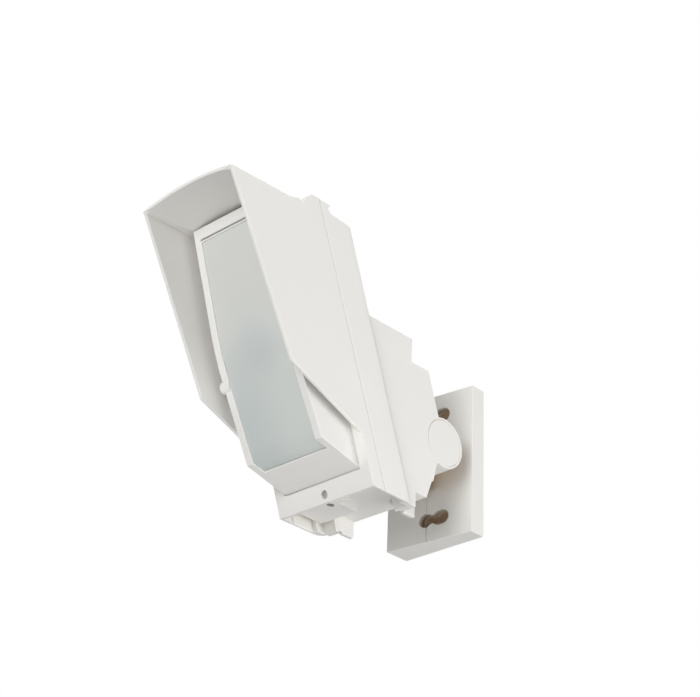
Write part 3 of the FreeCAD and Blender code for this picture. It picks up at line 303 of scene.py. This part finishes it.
def addGroup(tree, group, values):
    node = tree.nodes.new("ShaderNodeGroup")
    node.node_tree = group
    for label, value in values.items():
        node.inputs[label].default_value = value
    return node


cloudShape = {
    "detail": 4, "shadeFrom": 0.3, "shadeTo": 0.7, "dustFrom": 0.35, "dustTo": 1.0,
    "speckScale": 260, "speckDetail": 6, "speckFrom": 0.42, "speckTo": 0.68,
}


def makeTintCloud(shape):
    # slow drift between two tints, with a little dust lying on what faces up
    group, start, end = newGroup(
        "tint_cloud",
        [("Vector", "NodeSocketVector"), ("Tint", "NodeSocketColor"),
         ("Shade", "NodeSocketColor"), ("Scale", "NodeSocketFloat"),
         ("Dust", "NodeSocketColor"), ("Facing", "NodeSocketVector"),
         ("Dust Share", "NodeSocketFloat")],
        [("Color", "NodeSocketColor")])
    cloud = addNoise(group, start["Vector"], start["Scale"], shape["detail"])
    share = addRange(group, cloud, shape["shadeFrom"], shape["shadeTo"], 0, 1)
    tint = addMix(group, share, start["Tint"], start["Shade"])
    facing = addSplit(group, start["Facing"])
    upward = addRange(group, facing["Z"], shape["dustFrom"], shape["dustTo"], 0, 1)
    specks = addNoise(group, start["Vector"], shape["speckScale"], shape["speckDetail"])
    specks = addRange(group, specks, shape["speckFrom"], shape["speckTo"], 0, 1)
    dust = addMath(group, "MULTIPLY", upward, specks)
    dust = addMath(group, "MULTIPLY", dust, start["Dust Share"])
    group.links.new(addMix(group, dust, tint, start["Dust"]), end["Color"])
    return group


grainShape = {"detail": 3, "rippleScale": 46, "rippleDetail": 2, "rippleHeight": 1.6}


def makeMouldGrain(shape):
    # fine spark-eroded texture of moulded plastic, with slight flow ripples
    group, start, end = newGroup(
        "mould_grain",
        [("Vector", "NodeSocketVector"), ("Grain", "NodeSocketFloat"),
         ("Rough", "NodeSocketFloat"), ("Spread", "NodeSocketFloat")],
        [("Height", "NodeSocketFloat"), ("Roughness", "NodeSocketFloat")])
    grain = addNoise(group, start["Vector"], start["Grain"], shape["detail"])
    ripple = addNoise(group, start["Vector"], shape["rippleScale"], shape["rippleDetail"])
    waves = addMath(group, "MULTIPLY", ripple, shape["rippleHeight"])
    group.links.new(addMath(group, "ADD", grain, waves), end["Height"])
    centred = addMath(group, "SUBTRACT", ripple, 0.5)
    spread = addMath(group, "MULTIPLY", centred, start["Spread"])
    group.links.new(addMath(group, "ADD", start["Rough"], spread), end["Roughness"])
    return group


tintCloud = makeTintCloud(cloudShape)
mouldGrain = makeMouldGrain(grainShape)


def grooveMask(tree, place, groove):
    # 1 in the drip groove of the plate's front, and 0 around the screw recesses
    split = addSplit(tree, place)
    offset = addMath(tree, "SUBTRACT", split["X"], groove["line"])
    aside = addMath(tree, "ABSOLUTE", offset)
    within = addRange(tree, aside, groove["half"], groove["fade"], 1, 0)
    level = addMath(tree, "ABSOLUTE", split["Z"])
    past = addMath(tree, "ABSOLUTE", addMath(tree, "SUBTRACT", level, groove["slotLevel"]))
    clear = addRange(tree, past, groove["slotHalf"], groove["slotFade"], 0, 1)
    front = addRange(tree, split["Y"], groove["front"], groove["behind"], 1, 0)
    return addMath(tree, "MULTIPLY", addMath(tree, "MULTIPLY", within, clear), front)


def addHollowShade(tree, place, colour, grime):
    # painted shade: the more a hollow is closed in, the darker and warmer its colour is
    # painted; in the groove a pale painted highlight takes its place
    hollow = tree.nodes.new("ShaderNodeAmbientOcclusion")
    hollow.samples = 8
    hollow.inputs["Distance"].default_value = grime["reach"]
    sky = hollow.outputs["AO"]
    depth = addRange(tree, sky, grime["full"], grime["none"], grime["share"], 0)
    innermost = addRange(tree, sky, grime["deepFull"], grime["deepNone"], 1, 0)
    # the painted shade's colour, warmer still in the deepest hollows
    tint = addMix(tree, innermost, grime["tint"] + (1,), grime["deepShadeTint"] + (1,))
    shadedColour = addMix(tree, depth, colour, tint)
    groove = grime["groove"]
    if groove:
        # painted highlight: the groove is painted pale instead of shaded
        paleLineShare = addMath(tree, "MULTIPLY", depth, grooveMask(tree, place, groove))
        shadedColour = addMix(tree, paleLineShare, shadedColour, groove["tint"] + (1,))
    return shadedColour


def mouldedPlastic(name, look):
    material, tree, shader = newMaterial(name)
    texture = tree.nodes.new("ShaderNodeTexCoord")
    place = texture.outputs["Object"]
    cloud = addGroup(tree, tintCloud, {
        "Tint": look["tint"] + (1,), "Shade": look["shade"] + (1,),
        "Scale": look["cloudScale"], "Dust": look["dust"] + (1,),
        "Dust Share": look["dustShare"]})
    grain = addGroup(tree, mouldGrain, {
        "Grain": look["grain"], "Rough": look["rough"], "Spread": look["roughSpread"]})
    tree.links.new(place, cloud.inputs["Vector"])
    tree.links.new(place, grain.inputs["Vector"])
    tree.links.new(texture.outputs["Normal"], cloud.inputs["Facing"])
    colour = cloud.outputs["Color"]
    # painted shade in the hollows, where a look has it
    if look["grime"]:
        colour = addHollowShade(tree, place, colour, look["grime"])
    tree.links.new(colour, shader.inputs["Base Color"])
    tree.links.new(grain.outputs["Roughness"], shader.inputs["Roughness"])
    bump = tree.nodes.new("ShaderNodeBump")
    bump.inputs["Strength"].default_value = look["bump"]
    bump.inputs["Distance"].default_value = look["bumpDepth"]
    tree.links.new(grain.outputs["Height"], bump.inputs["Height"])
    tree.links.new(bump.outputs["Normal"], shader.inputs["Normal"])
    shader.inputs["IOR"].default_value = look["ior"]
    shader.inputs["Metallic"].default_value = look["metal"]
    shader.inputs["Subsurface Weight"].default_value = look["glow"]
    shader.inputs["Subsurface Scale"].default_value = look["glowDepth"]
    shader.inputs["Subsurface Radius"].default_value = look["glowTint"]
    return material


plasticLook = {
    "tint": (0.815, 0.800, 0.770), "shade": (0.795, 0.780, 0.748), "cloudScale": 14.0,
    "dust": (0.60, 0.575, 0.53), "dustShare": 0.12, "grain": 2600.0, "rough": 0.42,
    "roughSpread": 0.12, "bump": 0.12, "bumpDepth": 0.0002, "ior": 1.5, "metal": 0.0,
    "glow": 0.0, "glowDepth": 0.0015, "glowTint": (1.0, 0.8, 0.6), "grime": None,
}

# painted shade for the shells: warm darkening in their hollows and gaps
shellHollowShade = {
    "tint": (0.74, 0.64, 0.54), "deepShadeTint": (0.74, 0.64, 0.54), "share": 0.30,
    "reach": 0.006, "full": 0.25, "none": 0.72, "deepFull": 0.05, "deepNone": 0.30,
    "groove": None,
}

# a pale painted highlight along the plate's groove, in place of the painted shade there
grooveLightPaint = {
    "tint": (0.97, 0.955, 0.92), "line": -0.0019, "half": 0.0006, "fade": 0.0009,
    "slotLevel": 0.0365, "slotHalf": 0.0030, "slotFade": 0.0042,
    "front": -0.0118, "behind": -0.0108,
}

# painted shade for the wall plate and arm, reaching far enough to darken and brown the plate
# behind the head and inside its slots
bracketHollowShade = dict(shellHollowShade)
bracketHollowShade.update({
    "tint": (0.50, 0.41, 0.31), "deepShadeTint": (0.86, 0.67, 0.48), "share": 0.9,
    "reach": 0.028, "groove": grooveLightPaint,
})


def withLook(**changes):
    look = dict(plasticLook)
    look.update(changes)
    return look


shellWhite = mouldedPlastic("shell_white", withLook(grime=shellHollowShade))
bracketWhite = mouldedPlastic("bracket_white", withLook(
    tint=(0.80, 0.787, 0.757), shade=(0.775, 0.762, 0.73), grain=2000.0, rough=0.48,
    grime=bracketHollowShade))
frameWhite = mouldedPlastic("frame_white", withLook(
    tint=(0.82, 0.81, 0.785), shade=(0.805, 0.795, 0.768), rough=0.36, dustShare=0.05))
darkNylon = mouldedPlastic("dark_nylon", withLook(
    tint=(0.035, 0.034, 0.033), shade=(0.055, 0.053, 0.05), dust=(0.3, 0.28, 0.25),
    rough=0.5, grain=1500.0))
sealRubber = mouldedPlastic("seal_rubber", withLook(
    tint=(0.42, 0.41, 0.39), shade=(0.48, 0.47, 0.45), rough=0.72, grain=900.0, bump=0.3))
greyRubber = mouldedPlastic("grey_rubber", withLook(
    tint=(0.62, 0.61, 0.58), shade=(0.66, 0.65, 0.62), rough=0.66, grain=800.0, bump=0.25))
chipBlack = mouldedPlastic("chip_black", withLook(
    tint=(0.02, 0.02, 0.021), shade=(0.03, 0.03, 0.03), rough=0.45, grain=3000.0,
    dustShare=0.05))
terminalGreen = mouldedPlastic("terminal_green", withLook(
    tint=(0.05, 0.33, 0.12), shade=(0.04, 0.27, 0.10), rough=0.4))
ledRed = mouldedPlastic("led_red", withLook(
    tint=(0.75, 0.05, 0.03), shade=(0.6, 0.03, 0.02), rough=0.15, dustShare=0.0, glow=0.2))
steel = mouldedPlastic("zinc_steel", withLook(
    tint=(0.62, 0.62, 0.60), shade=(0.50, 0.50, 0.49), rough=0.32, grain=600.0,
    cloudScale=120.0, bump=0.2, metal=1.0, dustShare=0.1))
sensorCan = mouldedPlastic("sensor_can", withLook(
    tint=(0.70, 0.66, 0.55), shade=(0.58, 0.55, 0.46), rough=0.25, cloudScale=90.0,
    metal=1.0, dustShare=0.0))


# The window: greyer and bluer below than above, with a faint darker cloud painted where the
# parts behind it would show through.
lensLook = {
    "upper": (0.640, 0.645, 0.615), "deepLeft": (0.545, 0.590, 0.578),
    "deepRight": (0.640, 0.665, 0.640), "leftAt": -0.022, "rightAt": 0.018,
    "lowAt": -0.012, "highAt": 0.05, "cloudAt": (0.001, 0.0, 0.020), "cloudCore": 0.004,
    "cloudRim": 0.026, "cloud": (0.560, 0.590, 0.583), "mottleScale": 35.0,
    "mottleShare": 0.25, "hazeScale": 40.0, "roughLow": 0.26, "roughHigh": 0.38,
    "ior": 1.5,
}


def milkyLens(look):
    material, tree, shader = newMaterial("milky_lens")
    place = tree.nodes.new("ShaderNodeTexCoord").outputs["Object"]
    split = addSplit(tree, place)
    side = addRange(tree, split["X"], look["leftAt"], look["rightAt"], 0, 1)
    deep = addMix(tree, side, look["deepLeft"] + (1,), look["deepRight"] + (1,))
    low = addRange(tree, split["Z"], look["lowAt"], look["highAt"], 1, 0)
    tint = addMix(tree, low, look["upper"] + (1,), deep)
    squash = tree.nodes.new("ShaderNodeCombineXYZ")
    tree.links.new(split["X"], squash.inputs["X"])
    tree.links.new(split["Z"], squash.inputs["Z"])
    away = tree.nodes.new("ShaderNodeVectorMath")
    away.operation = "DISTANCE"
    tree.links.new(squash.outputs[0], away.inputs[0])
    away.inputs[1].default_value = look["cloudAt"]
    # painted shade of the parts behind the window
    showThroughShade = addRange(tree, away.outputs["Value"], look["cloudCore"], look["cloudRim"], 1, 0)
    tint = addMix(tree, showThroughShade, tint, look["cloud"] + (1,))
    mottle = addNoise(tree, place, look["mottleScale"], 1)
    mottle = addRange(tree, mottle, 0, 1, 0, look["mottleShare"])
    tint = addMix(tree, mottle, tint, look["deepLeft"] + (1,))
    tree.links.new(tint, shader.inputs["Base Color"])
    haze = addNoise(tree, place, look["hazeScale"], 0)
    haze = addRange(tree, haze, 0, 1, look["roughLow"], look["roughHigh"])
    tree.links.new(haze, shader.inputs["Roughness"])
    shader.inputs["IOR"].default_value = look["ior"]
    return material


lensMilky = milkyLens(lensLook)


# The circuit board: green lacquer over copper tracks. It leans back with the head.
boardLook = {
    "lacquer": (0.02, 0.19, 0.07), "lacquerDark": (0.015, 0.15, 0.055),
    "track": (0.06, 0.33, 0.13), "trackScale": 120.0, "trackWidth": 0.03, "lean": -20.4,
    "bump": 0.3, "bumpDepth": 0.0001, "rough": 0.35, "coat": 0.4,
}


def boardLacquer(look):
    material, tree, shader = newMaterial("board_green")
    place = tree.nodes.new("ShaderNodeTexCoord").outputs["Object"]
    turn = tree.nodes.new("ShaderNodeMapping")
    turn.inputs["Rotation"].default_value = (math.radians(look["lean"]), 0, 0)
    tree.links.new(place, turn.inputs["Vector"])
    split = addSplit(tree, turn.outputs[0])
    join = tree.nodes.new("ShaderNodeCombineXYZ")
    tree.links.new(split["X"], join.inputs["X"])
    tree.links.new(split["Z"], join.inputs["Y"])
    tracks = tree.nodes.new("ShaderNodeTexBrick")
    tracks.inputs["Scale"].default_value = look["trackScale"]
    tracks.inputs["Mortar Size"].default_value = look["trackWidth"]
    tracks.inputs["Color1"].default_value = look["lacquer"] + (1,)
    tracks.inputs["Color2"].default_value = look["lacquerDark"] + (1,)
    tracks.inputs["Mortar"].default_value = look["track"] + (1,)
    tree.links.new(join.outputs[0], tracks.inputs["Vector"])
    tree.links.new(tracks.outputs["Color"], shader.inputs["Base Color"])
    bump = tree.nodes.new("ShaderNodeBump")
    bump.inputs["Strength"].default_value = look["bump"]
    bump.inputs["Distance"].default_value = look["bumpDepth"]
    tree.links.new(tracks.outputs["Fac"], bump.inputs["Height"])
    tree.links.new(bump.outputs["Normal"], shader.inputs["Normal"])
    shader.inputs["Roughness"].default_value = look["rough"]
    shader.inputs["Coat Weight"].default_value = look["coat"]
    return material


boardGreen = boardLacquer(boardLook)
print("materials made")


# Shells: the solids' own shapes with moulded, rounded edges. Lengths are in metres, areas
# in square metres and angles in degrees.
shellRules = {
    "weld": 0.000002, "flatAngle": 0.05, "cutWeld": 0.0000005, "broadFace": 0.000025,
    "sightLift": 0.0003, "sightReach": 0.35, "sightTurn": 45, "sightCount": 8,
    "evenWeight": 60,
}

bpy.context.view_layer.update()
sight = bpy.context.evaluated_depsgraph_get()


def seenFromOutside(edge):
    # an edge is worth rounding when some line of sight reaches it past every other part
    middle = (edge.verts[0].co + edge.verts[1].co) / 2
    outward = (edge.link_faces[0].normal + edge.link_faces[1].normal).normalized()
    side = outward.orthogonal()
    start = middle + outward * shellRules["sightLift"]
    for step in range(shellRules["sightCount"] + 1):
        ray = outward.copy()
        if step:
            turn = math.radians(shellRules["sightTurn"] * step)
            ray += Matrix.Rotation(turn, 3, outward) @ side
        hit = scene.ray_cast(sight, start, ray.normalized(),
                             distance=shellRules["sightReach"])[0]
        if not hit:
            return True
    return False


def outerEdge(edge):
    return edge.is_convex and seenFromOutside(edge)


def easeBend(bm, wanted, reach):
    # cuts a line on each side of a bend, so that its smooth shading stays between them
    cuts = []
    for edge in [edge for edge in bm.edges if wanted(edge)]:
        middle = (edge.verts[0].co + edge.verts[1].co) / 2
        along = (edge.verts[1].co - edge.verts[0].co).normalized()
        for face in edge.link_faces:
            inward = face.normal.cross(along)
            if inward.dot(face.calc_center_median() - middle) < 0:
                inward.negate()
            cuts.append((middle + inward * reach, inward))
    for place, normal in cuts:
        bmesh.ops.bisect_plane(bm, geom=bm.verts[:] + bm.edges[:] + bm.faces[:],
                               dist=shellRules["cutWeld"], plane_co=place, plane_no=normal)


def keepBroadEdges(bm, crease):
    # an edge between two broad faces is shaded sharp where they bend by more than the crease
    for edge in bm.edges:
        broad = edge.is_manifold and min(
            face.calc_area() for face in edge.link_faces) > shellRules["broadFace"]
        edge.smooth = not (broad and edge.calc_face_angle(0) > math.radians(crease))


def roundEdges(bm, radius, steps, wanted, sharpFrom):
    # the steps are the facets of each rounded edge
    chosen = [edge for edge in bm.edges if edge.is_manifold
              and edge.calc_face_angle(0) > math.radians(sharpFrom)
              and wanted(edge)]
    for edge in chosen:
        edge.smooth = True
    bmesh.ops.bevel(bm, geom=chosen, offset=radius, offset_type="OFFSET",
                    segments=steps, profile=0.5, affect="EDGES",
                    clamp_overlap=False, loop_slide=True, material=-1)
    bm.normal_update()


def softened(node, name, material, slot, look):
    mesh = nodes[node].data.copy()
    mesh.name = name
    bm = bmesh.new()
    bm.from_mesh(mesh)
    low = [min(corner.co[axis] for corner in bm.verts) for axis in range(3)]
    high = [max(corner.co[axis] for corner in bm.verts) for axis in range(3)]
    bmesh.ops.remove_doubles(bm, verts=bm.verts, dist=shellRules["weld"])
    bmesh.ops.dissolve_limit(bm, angle_limit=math.radians(shellRules["flatAngle"]),
                             use_dissolve_boundaries=False, verts=bm.verts, edges=bm.edges)
    if look["easedBend"]:
        easeBend(bm, look["easedBend"], look["bendReach"])
    keepBroadEdges(bm, look["broadCrease"])
    roundEdges(bm, look["radius"], look["steps"], look["rounded"], look["sharpFrom"])
    # nothing may reach past the solid's own box
    for corner in bm.verts:
        for axis in range(3):
            corner.co[axis] = min(max(corner.co[axis], low[axis]), high[axis])
    bmesh.ops.remove_doubles(bm, verts=bm.verts, dist=shellRules["weld"])
    for edge in bm.edges:
        if edge.calc_face_angle(0) > math.radians(look["creaseFrom"]):
            edge.smooth = False
    for face in bm.faces:
        face.smooth = True
    bm.to_mesh(mesh)
    bm.free()
    body = nodes[node]["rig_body"]
    piece = addPiece(name, mesh, body, material, (node,))
    even = piece.modifiers.new("even_shading", "WEIGHTED_NORMAL")
    even.keep_sharp = True
    even.weight = shellRules["evenWeight"]


def shellWith(radius, **changes):
    look = {"radius": radius, "steps": 3, "rounded": outerEdge, "sharpFrom": 20,
            "creaseFrom": 38, "broadCrease": 25, "easedBend": None, "bendReach": 0.009}
    look.update(changes)
    return look


# The lens is bent twice across its width, sharply at its toe and gently higher up. Both
# bends are eased instead of rounded.
bendRules = {"widerThan": 0.03, "levelWithin": 0.0005, "aheadOf": -0.138, "flatterThan": 60}


def lensBend(edge):
    first, second = (corner.co for corner in edge.verts)
    across = (abs(first.x - second.x) > bendRules["widerThan"]
              and abs(first.z - second.z) < bendRules["levelWithin"])
    bend = edge.calc_face_angle(0)
    return (across and first.y < bendRules["aheadOf"]
            and 0 < bend < math.radians(bendRules["flatterThan"]))


def lensRim(edge):
    return outerEdge(edge) and not lensBend(edge)


shells = (
    ("front_cover", "front_cover_shell", shellWhite, "white_shell",
     shellWith(0.0004, broadCrease=6)),
    ("base_housing", "base_shell", shellWhite, "white_shell", shellWith(0.0006)),
    ("rear_housing", "rear_block_shell", shellWhite, "white_shell", shellWith(0.0006)),
    ("lens_frame", "lens_frame_shell", frameWhite, "white_shell", shellWith(0.0004)),
    ("wall_plate", "wall_plate_shell", bracketWhite, "white_bracket", shellWith(0.0006)),
    ("swivel_arm", "swivel_arm_shell", bracketWhite, "white_bracket", shellWith(0.0003)),
    ("pivot_cap_right", "pivot_cap_right_shell", shellWhite, "white_shell",
     shellWith(0.0005)),
    ("pivot_cap_left", "pivot_cap_left_shell", shellWhite, "white_shell",
     shellWith(0.0005)),
    ("wiring_lid", "wiring_lid_shell", shellWhite, "white_shell", shellWith(0.0004)),
    ("lens", "lens_shell", lensMilky, "milky_lens",
     shellWith(0.0004, rounded=lensRim, easedBend=lensBend, broadCrease=60, creaseFrom=60)),
)
for shell in shells:
    softened(*shell)
print("shells rounded")

# The other parts keep their solids' own meshes and get only a material.
painted = {
    "pan_bolt": steel, "pan_nut": steel, "pan_washer": steel,
    "cable_gland": greyRubber, "tilt_bolt": steel, "tilt_nut": steel,
    "tilt_washer_right": darkNylon, "tilt_washer_left": darkNylon,
    "wiring_lid_screw": steel, "cover_gasket": sealRubber, "lens_retainer": frameWhite,
    "circuit_board": boardGreen, "optical_shroud": darkNylon,
    "sensor_lower": sensorCan, "sensor_upper": sensorCan, "terminal_block": terminalGreen,
    "alarm_relay": darkNylon, "processor_chip": chipBlack, "jumper_block": darkNylon,
    "board_screws": steel, "rear_housing_screws": steel, "lens_frame_screws": steel,
    "cover_lock_screw": steel, "status_led": ledRed, "board_capacitors": darkNylon,
}
for part, finish in painted.items():
    paint(part, finish)
print("parts painted")
